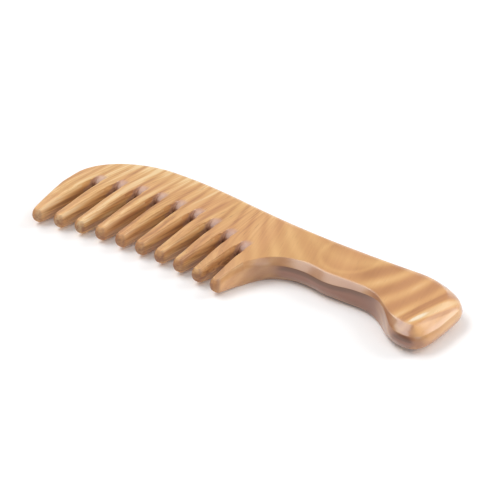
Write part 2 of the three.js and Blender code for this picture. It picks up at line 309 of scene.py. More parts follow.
def slim(rim, share, place):
    """The rim with a bevel that is narrowest at a place on it: cut * (1 - share * sin^2(pi * t^p)).

    The power p is chosen so that t^p is a half at that place.
    """
    power = np.log(0.5) / np.log(place)
    t = np.linspace(0, 1, len(rim.place))[:, None] ** power
    return Rim(rim.place, rim.cut * (1 - share * np.sin(np.pi * t) ** 2), rim.soft)


def reverse(rim):
    return Rim(*(part[::-1] for part in rim))


def split(rim, side):
    """The two parts of a rim where side, a number for each of its points, passes zero."""
    last = np.flatnonzero(np.diff(np.sign(side)))[0]
    share = side[last] / (side[last] - side[last + 1])
    point = [a[last : last + 1] + share * (a[last + 1 : last + 2] - a[last : last + 1]) for a in rim]
    before = Rim(*(np.concatenate([a[: last + 1], p]) for a, p in zip(rim, point)))
    after = Rim(*(np.concatenate([p, a[last + 1 :]]) for a, p in zip(rim, point)))
    return before, after


def lengths(rim):
    """Length along the rim at each of its points."""
    steps = np.linalg.norm(np.diff(rim.place, axis=0), axis=1)
    return np.concatenate([[0], np.cumsum(steps)])


def resample(rim, shares):
    """The rim at the given shares of its length."""
    along = lengths(rim)
    wanted = np.asarray(shares) * along[-1]
    columns = [np.interp(wanted, along, column) for column in np.hstack(rim).T]
    values = np.stack(columns, axis=1)
    return Rim(values[:, :2], values[:, 2:4], values[:, 4:])


def skew(rim, direction):
    """Turns the cut at the rim's first point into a joint's plane, and eases that off along the rim.

    The turned cut lies along the direction and keeps its reach across the bevel, so the bevel's surface
    is the same: cut + tangent * (slide / bevel) * |cut|, with a weight that falls from 1 to 0.
    """
    normal = unit(rim.cut)
    tangent = np.stack([normal[:, 1], -normal[:, 0]], axis=1)
    direction = unit(np.array(direction, float))
    slide = (direction @ tangent[0]) / (direction @ normal[0])
    weight = np.clip(1 - lengths(rim) / SKEW_REACH, 0, 1)[:, None]
    reach = np.linalg.norm(rim.cut, axis=1, keepdims=True)
    return Rim(rim.place, rim.cut + tangent * slide * reach * weight, rim.soft)


RING_ANGLE = np.radians(np.interp(np.linspace(0, 1, EDGE_RINGS + 1), RING_SHARES, RING_ANGLES))


def crisp_profile():
    """Section of a crisp edge, from the middle of its wall to its face, as shares of inset and height.

    The wall bulges: its inset is a square of its height. From its corner a chamfer climbs to the face
    and flattens on the way there: its height is wall + (1 - wall) * (1 - (1 - way)^curve).
    """
    wall = 1 - (1 - np.linspace(0, 1, WALL_RINGS + 1)) ** RING_CROWDING
    way = np.linspace(0, 1, EDGE_RINGS - WALL_RINGS + 1)[1:] ** RING_CROWDING
    chamfer = WALL_SHARE + (1 - WALL_SHARE) * (1 - (1 - way) ** CRISP_CURVE)
    inset = np.concatenate([WALL_BULGE * wall**2, WALL_BULGE + (1 - WALL_BULGE) * way])
    return inset, np.concatenate([WALL_SHARE * wall, chamfer])


def soft_profile(power):
    """Section of a rounded edge, from the middle of its wall to its face, as shares of inset and height.

    Wall, chamfer and face are three straight lines, blended by a power mean: along the ray at each
    angle, the section lies at one over (x^p + z^p + chamfer^p)^(1/p).
    """
    slope = (1 - WALL_SHARE) / (1 - FACE_SHARE)

    def gauge(x, z):
        chamfer = (z + slope * x) / (1 + slope * FACE_SHARE)
        return (x**power + z**power + chamfer**power) ** (1 / power)

    x = np.cos(RING_ANGLE)
    z = np.sin(RING_ANGLE)
    size = gauge(x, z)
    return 1 - x / size * gauge(1, 0), z / size * gauge(0, 1)


CRISP_INSET, CRISP_HEIGHT = crisp_profile()
SOFT_INSET, SOFT_HEIGHT = soft_profile(SOFT_POWER)


def bevelled(rim):
    """Edge along a rim. Its section goes from the crisp profile to the soft one by the rim's softness."""
    inset = CRISP_INSET + rim.soft * (SOFT_INSET - CRISP_INSET)
    height = CRISP_HEIGHT + rim.soft * (SOFT_HEIGHT - CRISP_HEIGHT)
    return Edge(rim.place, rim.cut, inset, height)


def steady_slope(edge):
    """The edge with a taller wall where its bevel is narrow, so that the chamfer keeps its slope there.

    With s as the bevel's share of the full one, the chamfer's drop becomes s times as large, and the
    heights of the wall stretch to meet it.
    """
    share = np.clip(np.linalg.norm(edge.cut, axis=1, keepdims=True) / EDGE_BEVEL, 0, 1)
    wall = edge.height / WALL_SHARE * (1 - (1 - WALL_SHARE) * share)
    chamfer = 1 - (1 - edge.height) * share
    return Edge(edge.place, edge.cut, edge.inset, np.where(edge.height < WALL_SHARE, wall, chamfer))


def upright(start, end, count):
    """Flat joint face under the straight line from start to end, with more points near its ends."""
    share = smooth(np.linspace(0, 1, count))[:, None]
    place = start + share * (end - start)
    inset = np.zeros((count, EDGE_RINGS + 1))
    return Edge(place, np.zeros_like(place), inset, inset + CRISP_HEIGHT)


def chain(*edges):
    return Edge(*(np.concatenate(parts) for parts in zip(*edges)))


def sanding_wave(plan):
    """Shallow waves that hand sanding leaves: the product of two slow sines, never above the face."""
    x = plan[..., 0] / SANDING_WAVE_LENGTH
    y = plan[..., 1] / SANDING_WAVE_LENGTH
    first, second = (np.sin(along_x * x + along_y * y + start) for along_x, along_y, start in SANDING_SINES)
    return SANDING_WAVE * (1 + first * second) / 2


def scoop(plan):
    """How deep the scoop past the nearest gap's root is across the gap and along it, as two shares.

    Across the gap it is flat between steep flanks. Along the gap it is level at first, and then climbs as
    a quarter of an ellipse, 1 - sqrt(1 - (1 - way)^2), to its far end, which is round.
    """
    gap = np.clip(np.round((plan[..., 0] - tooth_x(0.5)) / TOOTH_PITCH), 0, LAST_TOOTH - 1)
    gap_x = tooth_x(gap + 0.5)
    across = np.abs(plan[..., 0] - gap_x)
    past_root = plan[..., 1] - gap_root_y(gap_x)
    flank = smooth((SCOOP_HALF_WIDTH - across) / SCOOP_FLANK)
    length = SCOOP_LENGTH - SCOOP_ROUND * np.minimum(across / SCOOP_HALF_WIDTH, 1) ** 2
    way = np.clip((past_root - SCOOP_LEVEL) / length, 0, 1)
    return flank, 1 - np.sqrt(1 - (1 - way) ** 2)


def scoop_depth(plan):
    flank, along = scoop(plan)
    return SCOOP_DEPTH * flank * along


def scoop_painted_shade(plan):
    """Painted shade for a place on the face: how far it is a scoop's flank, as 4 * flank * (1 - flank), or
    its deep end.
    """
    flank, along = scoop(plan)
    side = 4 * flank * (1 - flank) * np.sqrt(along)
    deep_end = smooth((flank * along - SCOOP_END_FROM) / SCOOP_END_FADE)
    return np.maximum(side, SCOOP_END_SHADE * deep_end)


def board_form(plan):
    """Middle height and half thickness of back and handle."""
    return THICKNESS / 2, THICKNESS / 2 - sanding_wave(plan) - scoop_depth(plan)


def tooth_form(i, plan):
    """Middle height and half thickness of tooth i.

    Both fall as a power of the way down, and the half thickness also falls as a square across the tooth.
    The flanks of the scoops beside it end just below the shoulder.
    """
    x, y = plan[..., 0], plan[..., 1]
    length = shoulder_y(i, tooth_x(i)) - tip_y(i)
    down = np.clip((shoulder_y(i, x) - y) / length, 0, 1)
    across = np.clip((x - tooth_x(i) + TOOTH_LEAN * down) / (TOOTH_TIP_WIDTH / 2), -1, 1)
    taper = (THICKNESS - TOOTH_TIP_THICKNESS) / 2 * down**TAPER_POWER
    crown = TOOTH_CROWN * across**2 * np.sin(np.pi * down)
    middle, half = board_form(plan)
    half = half + scoop_depth(plan) * smooth(down / SCOOP_RUN_OUT)
    return middle - TOOTH_TIP_SINK * down**TAPER_POWER, half - taper - crown


def section_grid(near, far, form, columns, crowding=1.0):
    """Grid of points round a piece: its section, carried along two edges at once.

    Each section climbs the near edge's profile, crosses the face straight, comes down the far edge's
    profile, and returns below as the same line mirrored at the piece's middle. Rows follow the edges,
    columns go round the section. The plan shrinks a little, to fit the frame's faceted outline.
    """
    near_plan = near.place[:, None] + near.cut[:, None] * near.inset[..., None]
    far_plan = far.place[:, None] + far.cut[:, None] * far.inset[..., None]
    start, end = near_plan[:, -1:], far_plan[:, -1:]
    share = np.linspace(0, 1, columns + 1)[1:-1][None, :, None] ** crowding
    face_plan = start + share * (end - start)
    plan = np.concatenate([near_plan, face_plan, far_plan[:, ::-1]], axis=1)
    height = np.concatenate([near.height, np.ones(face_plan.shape[:2]), far.height[:, ::-1]], axis=1)
    middle, half = form(plan)
    upper = np.dstack([plan * FRAME_FIT, middle + height * half])
    lower = np.dstack([plan * FRAME_FIT, middle - height * half])
    return np.concatenate([upper, lower[:, -2:0:-1]], axis=1)


def round_section(near, columns, far):
    """Values for each column of a section, from those on the rings of its near and its far edge."""
    upper = np.concatenate([near, np.zeros(columns - 1), far[::-1]])
    return np.concatenate([upper, upper[-2:0:-1]])


RINGS = np.arange(EDGE_RINGS + 1)
# Edge wear and a painted highlight along the edges, by ring
WEAR_AND_HIGHLIGHT_RINGS = EDGE_WEAR_AND_HIGHLIGHT * np.exp(-(((RINGS - WALL_RINGS) / WEAR_HIGHLIGHT_SPREAD) ** 2))
TOOTH_WEAR_AND_HIGHLIGHT_RINGS = TOOTH_WEAR_AND_HIGHLIGHT * np.exp(-(((RINGS - TOOTH_WEAR_HIGHLIGHT_RING) / TOOTH_WEAR_HIGHLIGHT_SPREAD) ** 2))
# Painted shade on a gap's side, by ring
GAP_SHADE_BY_RING = np.clip((PAINTED_GAP_SHADE_RINGS[1] - RINGS) / (PAINTED_GAP_SHADE_RINGS[1] - PAINTED_GAP_SHADE_RINGS[0]), 0, 1)


def edge_finish(grid, face_columns, wear_and_highlight_rings, gap_shade_sides):
    """Wear and painted highlight of a piece's edges, and painted shade on the sides of gaps, for each point
    of its grid.

    The gap shade sides say how far its near and its far edge face a gap and get painted shade, for the whole
    edge or for each row.
    """
    rows = len(grid)
    nothing = np.zeros(EDGE_RINGS + 1)
    ring_wear_and_highlight = np.ones((rows, 1)) * round_section(wear_and_highlight_rings, face_columns, wear_and_highlight_rings)
    near_gap_shade = np.reshape(gap_shade_sides[0], (-1, 1)) * round_section(GAP_SHADE_BY_RING, face_columns, nothing)
    far_gap_shade = np.reshape(gap_shade_sides[1], (-1, 1)) * round_section(nothing, face_columns, GAP_SHADE_BY_RING)
    return {"edge_wear_and_highlight": ring_wear_and_highlight, "painted_gap_shade": np.zeros((rows, 1)) + near_gap_shade + far_gap_shade}


def wood_piece(name, grid, open_ends, finish, node, material):
    """Closed mesh over a grid that goes round in its columns, with a flat face on each open end.

    The finish holds its attributes, with a value for each point of the grid.
    """
    rows, columns = grid.shape[:2]
    index = np.arange(rows * columns).reshape(rows, columns)
    turned = np.roll(index, -1, axis=1)
    quads = np.stack([index[:-1], turned[:-1], turned[1:], index[1:]], axis=-1).reshape(-1, 4)
    caps = [index[row].tolist() for row in open_ends]
    mesh = bpy.data.meshes.new(name)
    mesh.from_pydata(grid.reshape(-1, 3).tolist(), [], quads.tolist() + caps)
    for label, values in finish.items():
        mesh.attributes.new(label, "FLOAT", "POINT").data.foreach_set("value", values.ravel())
    shape = bmesh.new()
    shape.from_mesh(mesh)
    bmesh.ops.remove_doubles(shape, verts=shape.verts, dist=WELD_DISTANCE)
    bmesh.ops.dissolve_degenerate(shape, edges=shape.edges, dist=WELD_DISTANCE)
    bmesh.ops.recalc_face_normals(shape, faces=shape.faces)
    if shape.calc_volume(signed=True) < 0:
        bmesh.ops.reverse_faces(shape, faces=shape.faces)
    shape.to_mesh(mesh)
    shape.free()
    mesh.shade_smooth()
    mesh.set_sharp_from_angle(angle=SHARP_ANGLE)
    mesh.materials.append(material)
    piece = bpy.data.objects.new(name, mesh)
    bpy.context.collection.objects.link(piece)
    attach(piece, "root")
    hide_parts(node)
    return piece


# Outline of the comb, anticlockwise

def tip_station(i, side):
    """Where the straight side of tooth i meets its rounded tip. Side -1 is the head's, 1 the handle's."""
    gap_x = tooth_x(i) + side * TOOTH_PITCH / 2
    root = np.array([gap_x - side * HALF_GAP, gap_root_y(gap_x) - GAP_ROOT_LENGTH])
    tip = np.array([tip_x(i) + side * TOOTH_TIP_WIDTH / 2, tip_y(i) + TIP_ROUND_LENGTH])
    return station(*tip, side * (root - tip), TIP_SIDE_BEVEL, TIP_SIDE_SOFTNESS)


def shoulder_corner(i, side):
    """Where the straight side of tooth i meets its shoulder."""
    tip = tip_station(i, side)
    gap_x = tooth_x(i) + side * TOOTH_PITCH / 2
    root_x = gap_x - side * HALF_GAP
    return station(root_x, shoulder_y(i, root_x), tip.heading, TOOTH_BEVEL, TOOTH_SOFTNESS)


head_end = station(HEAD_X, CREST_Y - HEAD_END_DROP, DOWN, EDGE_BEVEL, BACK_SOFTNESS)
crest = station(HEAD_X + CREST_SETBACK, CREST_Y, LEFT, EDGE_BEVEL, BACK_SOFTNESS)
neck = station(NECK_X, HANDLE_BACK_Y - NECK_WIDTH, RIGHT, EDGE_BEVEL, GRIP_SOFTNESS)
swell = station(NECK_X + GRIP_LENGTH / 2, HANDLE_BACK_Y - SWELL_WIDTH, RIGHT, EDGE_BEVEL, GRIP_SOFTNESS)
grip = station(END_X - FLARE_LENGTH, HANDLE_BACK_Y - GRIP_WIDTH, RIGHT, GRIP_BEVEL, GRIP_SOFTNESS)
flare_x = END_X - FLARE_CORNER_SETBACK
flare_corner = station(flare_x, HANDLE_BACK_Y - FLARE_WIDTH, RIGHT, FLARE_BEVEL, FLARE_SOFTNESS)
handle_end = station(END_X, HANDLE_BACK_Y - END_DROP, UP, END_BEVEL, END_SOFTNESS)
end_round = station(END_X - END_ROUND_LENGTH, HANDLE_BACK_Y, LEFT, EDGE_BEVEL, BACK_SOFTNESS)
first_tip = station(*tip_station(0, -1).place, (FIRST_TIP_SLANT, -1), TIP_SIDE_BEVEL, TIP_SIDE_SOFTNESS)
last_tip = tip_station(LAST_TOOTH, 1)

head_side = rim_curve(head_end, first_tip, HEAD_SIDE_FULLNESS, CURVE_POINTS)
neck_side = rim_curve(last_tip, neck, NECK_SIDE_FULLNESS, CURVE_POINTS)
flare_side = rim_curve(grip, flare_corner, FLARE_FULLNESS, CURVE_POINTS)
grip_rim = join(
    rim_curve(neck, swell, GRIP_FULLNESS, CURVE_POINTS),
    rim_curve(swell, grip, GRIP_FULLNESS, CURVE_POINTS),
    slim(flare_side, FLARE_SLIMNESS, FLARE_SLIM_PLACE),
    rim_curve(flare_corner, handle_end, END_CORNER_FULLNESS, CURVE_POINTS),
)
end_rim = rim_curve(handle_end, end_round, END_ROUND_FULLNESS, CURVE_POINTS)
back_rim = rim_curve(end_round, crest, BACK_FULLNESS, CURVE_POINTS)
head_rim = rim_curve(crest, head_end, HEAD_BACK_FULLNESS, CURVE_POINTS)

head_above, head_below = split(head_side, head_side.place[:, 1] - shoulder_y(0, head_side.place[:, 0]))
last_shoulder = neck_side.place[:, 1] - shoulder_y(LAST_TOOTH, neck_side.place[:, 0])
neck_below, neck_above = split(neck_side, last_shoulder)
neck_to_joint, neck_past_joint = split(neck_above, neck_above.place[:, 0] - NECK_JOINT_X)
back_before, back_past = split(back_rim, back_rim.place[:, 0] - NECK_JOINT_X)


def along_shoulder(i):
    """Direction of tooth i's shoulder, from the head's side to the handle's."""
    x = tooth_x(i)
    return np.array([TOOTH_PITCH, shoulder_y(i, x + TOOTH_PITCH / 2) - shoulder_y(i, x - TOOTH_PITCH / 2)])


def tooth_side(i, side):
    """Rim of tooth i from its shoulder down to the middle of its tip, on one side.

    The head's side runs anticlockwise. The handle's side is made anticlockwise and turned round.
    """
    end = station(tip_x(i), tip_y(i), RIGHT, TIP_BEVEL, TIP_SOFTNESS)
    tip = first_tip if i == 0 and side < 0 else tip_station(i, side)
    corner = shoulder_corner(i, side)
    if side < 0:
        wall = head_below if i == 0 else rim_curve(corner, tip, GRIP_FULLNESS, WALL_POINTS)
        rim = join(wall, rim_curve(tip, end, TIP_FULLNESS, TIP_POINTS))
    else:
        wall = neck_below if i == LAST_TOOTH else rim_curve(tip, corner, GRIP_FULLNESS, WALL_POINTS)
        rim = reverse(join(rim_curve(end, tip, TIP_FULLNESS, TIP_POINTS), wall))
    return skew(rim, -side * along_shoulder(i))


def even_steps(rim, count):
    return resample(rim, np.linspace(0, 1, count))


def comb_tooth(i, material):
    """One tooth: its section carried from the shoulder to the tip, along both of its sides."""
    count = WALL_POINTS + TIP_POINTS
    near = bevelled(even_steps(tooth_side(i, -1), count))
    far = bevelled(even_steps(tooth_side(i, 1), count))
    grid = section_grid(near, far, lambda plan: tooth_form(i, plan), TOOTH_FACE_COLUMNS)
    # Sides that face a gap get painted shade
    finish = edge_finish(grid, TOOTH_FACE_COLUMNS, TOOTH_WEAR_AND_HIGHLIGHT_RINGS, (i > 0, i < LAST_TOOTH))
    down = np.linspace(0, 1, count)[:, None] + np.zeros(grid.shape[:2])
    finish["matt"] = smooth((down - MATT_TIP_START) / (1 - MATT_TIP_START))
    number = f"{i + 1:02d}"
    return wood_piece(f"comb_tooth_{number}", grid, [0], finish, f"tooth_{number}", material)


def gap_root_edge(i):
    """Edge round the root of the gap after tooth i."""
    x = tooth_x(i) + TOOTH_PITCH / 2
    left = shoulder_corner(i, 1)
    right = shoulder_corner(i + 1, -1)
    rise = station(*left.place, UP, TOOTH_BEVEL, TOOTH_SOFTNESS)
    root = station(x, gap_root_y(x), RIGHT, ROOT_BEVEL, TOOTH_SOFTNESS)
    fall = station(*right.place, DOWN, TOOTH_BEVEL, TOOTH_SOFTNESS)
    up = skew(rim_curve(rise, root, GAP_ROOT_FULLNESS, ARCH_POINTS), -along_shoulder(i))
    down = rim_curve(root, fall, GAP_ROOT_FULLNESS, ARCH_POINTS)
    down = reverse(skew(reverse(down), along_shoulder(i + 1)))
    return bevelled(join(up, down))


def face_corner(edge, row):
    """Where the face begins at one row of an edge."""
    return edge.place[row] + edge.cut[row]


def comb_back(material):
    """The back: its section carried from the first tooth's outer shoulder to the joint in the neck.

    The near edge follows shoulders and gap roots, and the far edge goes round the head and along the
    crest. Both start from the same point. While the near edge follows the first shoulder, the far edge
    goes round the head, and from there on both have the same x.
    """
    far_rim = reverse(join(back_past, head_rim, head_above))
    far_rim = skew(far_rim, along_shoulder(0))
    far_rim = reverse(skew(reverse(far_rim), DOWN))
    neck_rim = skew(neck_to_joint, -along_shoulder(LAST_TOOTH))
    neck_rim = reverse(skew(reverse(neck_rim), UP))
    neck_edge = bevelled(neck_rim)
    gaps = [gap_root_edge(i) for i in range(LAST_TOOTH)]
    outer = bevelled(Rim(*(part[:1] for part in far_rim)))
    edges = [outer]
    for i in range(TOOTH_COUNT):
        before = edges[-1]
        after = gaps[i] if i < LAST_TOOTH else neck_edge
        count = HEAD_FAN_POINTS if i == 0 else SHOULDER_POINTS
        edges += [upright(face_corner(before, -1), face_corner(after, 0), count), after]
    near = chain(*edges)
    # Painted shade at the gaps' roots, deepest in the middle of each root
    root_shade = 1 + ROOT_SHADE * np.sin(np.linspace(0, np.pi, 2 * ARCH_POINTS - 1)) ** 2
    # Every second edge from the third on is a gap's
    shades = [np.zeros(len(edge.place)) for edge in edges]
    shades[2:-1:2] = [root_shade] * len(gaps)
    pace = (near.place + near.cut)[:, 0]
    far_x = (far_rim.place + far_rim.cut)[:, 0]
    outermost = np.argmin(far_x)
    far_shares = lengths(far_rim) / lengths(far_rim)[-1]
    shares = np.interp(pace, far_x[outermost:], far_shares[outermost:])
    shares[: HEAD_FAN_POINTS + 1] = np.linspace(0, shares[HEAD_FAN_POINTS], HEAD_FAN_POINTS + 1)
    far = bevelled(resample(far_rim, shares))
    grid = section_grid(near, far, board_form, BACK_FACE_COLUMNS, BACK_FACE_CROWDING)
    finish = edge_finish(grid, BACK_FACE_COLUMNS, WEAR_AND_HIGHLIGHT_RINGS, (np.concatenate(shades), 0))
    # The scoops' flanks and deep ends get painted shade as well
    finish["painted_gap_shade"] = np.maximum(finish["painted_gap_shade"], scoop_painted_shade(grid[..., :2]))
    # The scoops are half matt and get a painted pinkish reflection
    finish["scooped"] = smooth(scoop_depth(grid[..., :2]) / SCOOP_MARK_DEPTH)
    finish["matt"] = MATT_SCOOP * finish["scooped"]
    return wood_piece("comb_back", grid, [-1], finish, "back", material)


def comb_handle(material):
    """The handle: its section carried from the joint in the neck to the outermost point of the end."""
    near_rim = skew(join(neck_past_joint, grip_rim), UP)
    far_rim = skew(reverse(join(end_rim, back_before)), DOWN)
    near = steady_slope(bevelled(even_steps(near_rim, HANDLE_POINTS)))
    far = bevelled(even_steps(far_rim, HANDLE_POINTS))
    grid = section_grid(near, far, board_form, HANDLE_FACE_COLUMNS)
    finish = edge_finish(grid, HANDLE_FACE_COLUMNS, WEAR_AND_HIGHLIGHT_RINGS, (0, 0))
    return wood_piece("comb_handle", grid, [0], finish, "handle", material)


# Waxed wood, with its places and sizes in millimetres

# Growth rings are cylinders round a pith that lies far below the handle, tilted along Y
PITH_X = 41.0
PITH_Y = 5.0
PITH_DEPTH = 60.0
PITH_TILT = 0.25
RING_SPACING = 4.3
RING_START = 61.4
RING_RISE = 0.9  # how much of the height counts, because the board is cut askew
HEAD_LEAN = -0.12
NECK_LEAN = 0.35
END_LEAN = 0.22
NECK_LEAN_X = (-20.0, 10.0)
END_LEAN_X = (35.0, 60.0)

# Strength of the rings: even on the head, faint on the neck, broad and strong on the handle's end
HEAD_RINGS = 0.19
NECK_RINGS = 0.09
END_RINGS = 0.25
END_DARKNESS = 0.15
RING_UNEVENNESS = 1.6
HEAD_RING_SHARPNESS = 0.35  # share of the second harmonic, which narrows the dark lines
END_RING_SHARPNESS = -0.15
NECK_RINGS_X = (-6.0, 14.0)
END_RINGS_X = (44.0, 56.0)

# Noises of the grain: their waves for each millimetre across it, along it and up, and their detail
Noise = namedtuple("Noise", "density detail")
WANDER_NOISE = Noise((0.06, 0.02, 0.03), 2.0)
FIBRE_NOISE = Noise((1.1, 0.02, 1.1), 4.0)
STREAK_NOISE = Noise((0.34, 0.008, 0.12), 4.0)
BROAD_NOISE = Noise((0.10, 0.010, 0.06), 2.0)
PORE_NOISE = Noise((3.2, 0.16, 3.2), 1.0)
BLUSH_NOISE = Noise((0.055, 0.03, 0.05), 1.0)
NOISE_ROUGHNESS = 0.55
NOISE_MIDDLE = 0.5
WANDER_REACH = 4.5

# Broad shades, crisp bands and fine lines along the grain, as changes of tone
MIDDLE_TONE = 0.5
BROAD_SWING = 0.5
BAND_SWING = 0.17
BAND_STREAKS = (0.42, 0.58)
LINE_SWING = 0.3
LINE_FIBRES = (0.40, 0.62)

# Pores, deeper where the grain is lively
PORE_SPOTS = (0.66, 0.78)
PORE_SHADES = (0.22, 0.5)

# The grain is lively on the head and calm on neck and handle
CALM_X = (-8.0, 16.0)
CALM_SHARE = 0.14

# A reddish blush in soft patches
BLUSH_PATCHES = (0.38, 0.62)
BLUSH_SHARE = 0.34

# On the neck, a tan eye with a pale line round it
EYE_X = 41.0
EYE_Y = 12.0
EYE_HALF_LENGTH = 11.5
EYE_HALF_WIDTH = 13.0
EYE_FADE = (0.75, 0.98)
EYE_TONE = -0.07
EYE_LINE_WIDTH = 0.16
EYE_LINE_TONE = 0.13

# Near the handle's end, a pale band between two dark lines along the grain, with a painted highlight in it
BAND_PLACE = (85.4, -4.0)
BAND_SIZE = (1.9, 18.0)
BAND_TONE = 0.72
DARK_LINE_PLACES = ((81.2, -4.0), (88.3, -4.0))
DARK_LINE_SIZE = (0.9, 15.0)
DARK_LINE_TONE = -0.32
PAINTED_HIGHLIGHT_PLACE = (83.9, -10.5)
PAINTED_HIGHLIGHT_SIZE = (0.9, 4.6)
PAINTED_HIGHLIGHT_SHARE = 0.85
MARK_LEAN = 0.24
MARK_FADE = (0.5, 1.3)

# A bright stripe runs along one tooth into the back, the wood left of it is paler, and the crest is paler
# too, partly as a painted highlight
BRIGHT_STRIPE_X = -64.3
BRIGHT_STRIPE_HALF_WIDTH = 4.2
BRIGHT_STRIPE_TONE = 0.3
PALE_HEAD_X = (-76.0, -60.0)
PALE_HEAD_TONE = 0.17
PALE_CREST_Y = (15.0, 25.0)
PALE_CREST_X = (-14.0, 8.0)
PALE_CREST_TONES = (0.2, 0.06)

# Worn edges and their painted highlight show most on pale streaks. Painted shade on the sides of the gaps is
# darkest between the fibres, and near black at their ends and deep in the scoops
WEAR_HIGHLIGHT_STREAKS = (0.3, 0.6)
WEAR_HIGHLIGHT_SHARES = (0.1, 0.42)
GAP_FIBRES = (0.38, 0.62)
GAP_SHADES = (0.6, 0.28)
GAP_END_FROM = (1.2, 1.6)
GAP_END_SHADE = 0.85

# How far the painted pinkish reflection on the scoops hides the figure
SCOOP_REFLECTION_SHARE = 0.7

# End grain shows where the surface cuts across the fibres: in part on slopes, most on walls
SLOPE_FACING = (0.16, 0.60)
SLOPE_END_GRAIN = 0.58
WALL_FACING = (0.74, 0.98)
WALL_END_GRAIN = 0.42
TIP_END_GRAIN = 0.5  # share of it that shows on the matt tips

# Waxed low walls get a painted dark line of shade below their corner, and painted light towards the floor
LOW_WALL_FACING = (-0.95, -0.85)
WALL_TOP_FACING = (0.0, 0.16)
WALL_TOP_SHADE = 0.8
WALL_FOOT_FACING = (-0.3, -0.04)
WALL_FOOT_LIGHT = 0.3

# Satin wax, which is thin on matt wood
WAX_ROUGHNESS = 0.30
FIBRE_ROUGHNESS = 0.16
MATT_ROUGHNESS = 0.25
WAX_COAT = 0.95
MATT_COAT = 0.08
COAT_ROUGHNESS = 0.22
FIBRE_RELIEF = 0.6
PORE_RELIEF = -0.7
RELIEF_STRENGTH = 0.22
RELIEF_DEPTH = 0.08

DARK_WOOD = (0.43, 0.172, 0.057, 1)
MID_WOOD = (0.64, 0.322, 0.113, 1)
PALE_WOOD = (0.78, 0.45, 0.175, 1)
CREAM_WOOD = (0.88, 0.63, 0.33, 1)
# Painted highlight near the handle's end
PAINTED_HIGHLIGHT_CREAM = (0.95, 0.82, 0.62, 1)
PORE_BROWN = (0.22, 0.087, 0.03, 1)
END_GRAIN_BROWN = (0.285, 0.117, 0.066, 1)
# Painted shade in the gaps and below the corner of low walls
PAINTED_SHADE_BROWN = (0.148, 0.061, 0.03, 1)
# Painted near-black shade at the gaps' ends and deep in the scoops
PAINTED_DEEP_SHADE_BROWN = (0.028, 0.014, 0.009, 1)
# Painted light at the foot of low walls
WALL_FOOT_PAINTED_LIGHT = (0.40, 0.27, 0.226, 1)
# Painted pinkish reflection on the scoops
PAINTED_SCOOP_REFLECTION = (0.54, 0.31, 0.235, 1)
BLUSH_WOOD = (0.73, 0.357, 0.157, 1)

# Colours of the wood by its tone
DARKEST_WOOD = (0.05, DARK_WOOD)
PALEST_WOOD = (1.0, CREAM_WOOD)
WOOD_BETWEEN = ((0.42, MID_WOOD), (0.75, PALE_WOOD))

Grain = namedtuple("Grain", "x y place ring lively fibre streak broad pore")


def put(tree, kind, inputs, **settings):
    """Adds a node. Each input is a plain value or the output that feeds it."""
    node = tree.nodes.new(kind)
    for name, value in settings.items():
        setattr(node, name, value)
    for key, value in inputs.items():
        if isinstance(value, bpy.types.NodeSocket):
            tree.links.new(value, node.inputs[key])
        else:
            node.inputs[key].default_value = value
    return node


def calc(tree, operation, *values):
    return put(tree, "ShaderNodeMath", dict(enumerate(values)), operation=operation).outputs[0]


def eased(tree, value, low, high, start, end):
    """Goes smoothly from start to end while value goes from low to high."""
    inputs = {"Value": value, "From Min": low, "From Max": high, "To Min": start, "To Max": end}
    node = put(tree, "ShaderNodeMapRange", inputs, interpolation_type="SMOOTHSTEP")
    return node.outputs["Result"]


def attribute(tree, name):
    return put(tree, "ShaderNodeAttribute", {}, attribute_name=name).outputs["Fac"]


def noise(tree, place, kind):
    stretched = put(tree, "ShaderNodeMapping", {"Vector": place, "Scale": kind.density}).outputs[0]
    inputs = {"Vector": stretched, "Scale": 1.0, "Detail": kind.detail, "Roughness": NOISE_ROUGHNESS}
    return put(tree, "ShaderNodeTexNoise", inputs).outputs[0]


def swing(tree, value, amount, base):
    """The base, plus the amount times how far a noise lies from its middle."""
    return calc(tree, "MULTIPLY_ADD", calc(tree, "SUBTRACT", value, NOISE_MIDDLE), amount, base)


def blend(tree, factor, first, second):
    """The first colour, with the second laid over it by a factor."""
    node = put(tree, "ShaderNodeMix", {"Factor": factor}, data_type="RGBA")
    colours = [socket for socket in node.inputs if socket.type == "RGBA"]
    tree.links.new(first, colours[0])
    colours[1].default_value = second
    return next(socket for socket in node.outputs if socket.type == "RGBA")


def ellipse(tree, across, along, half_width, half_length):
    """Distance from an ellipse's middle, 1 on its rim: sqrt((across / width)^2 + (along / length)^2)."""
    width_share = calc(tree, "DIVIDE", across, half_width)
    length_share = calc(tree, "DIVIDE", along, half_length)
    squares = calc(tree, "MULTIPLY_ADD", width_share, width_share, calc(tree, "POWER", length_share, 2.0))
    return calc(tree, "SQRT", squares)


def neck_eye(tree, x, y):
    """Change of tone for the eye on the neck: darker inside, and a pale line along its rim."""
    across = calc(tree, "SUBTRACT", x, EYE_X)
    along = calc(tree, "ABSOLUTE", calc(tree, "SUBTRACT", y, EYE_Y))
    distance = ellipse(tree, across, along, EYE_HALF_LENGTH, EYE_HALF_WIDTH)
    from_rim = calc(tree, "ABSOLUTE", calc(tree, "SUBTRACT", distance, 1.0))
    line = eased(tree, from_rim, 0.0, EYE_LINE_WIDTH, EYE_LINE_TONE, 0.0)
    return calc(tree, "ADD", line, eased(tree, distance, *EYE_FADE, EYE_TONE, 0.0))


def grain_mark(tree, x, y, place, size, change):
    """A change inside a long mark near the handle's end, which leans with the grain and fades at its rim."""
    along = calc(tree, "ABSOLUTE", calc(tree, "SUBTRACT", y, place[1]))
    leaning = calc(tree, "MULTIPLY_ADD", y, -MARK_LEAN, MARK_LEAN * place[1] - place[0])
    distance = ellipse(tree, calc(tree, "ADD", x, leaning), along, *size)
    return eased(tree, distance, *MARK_FADE, change, 0.0)


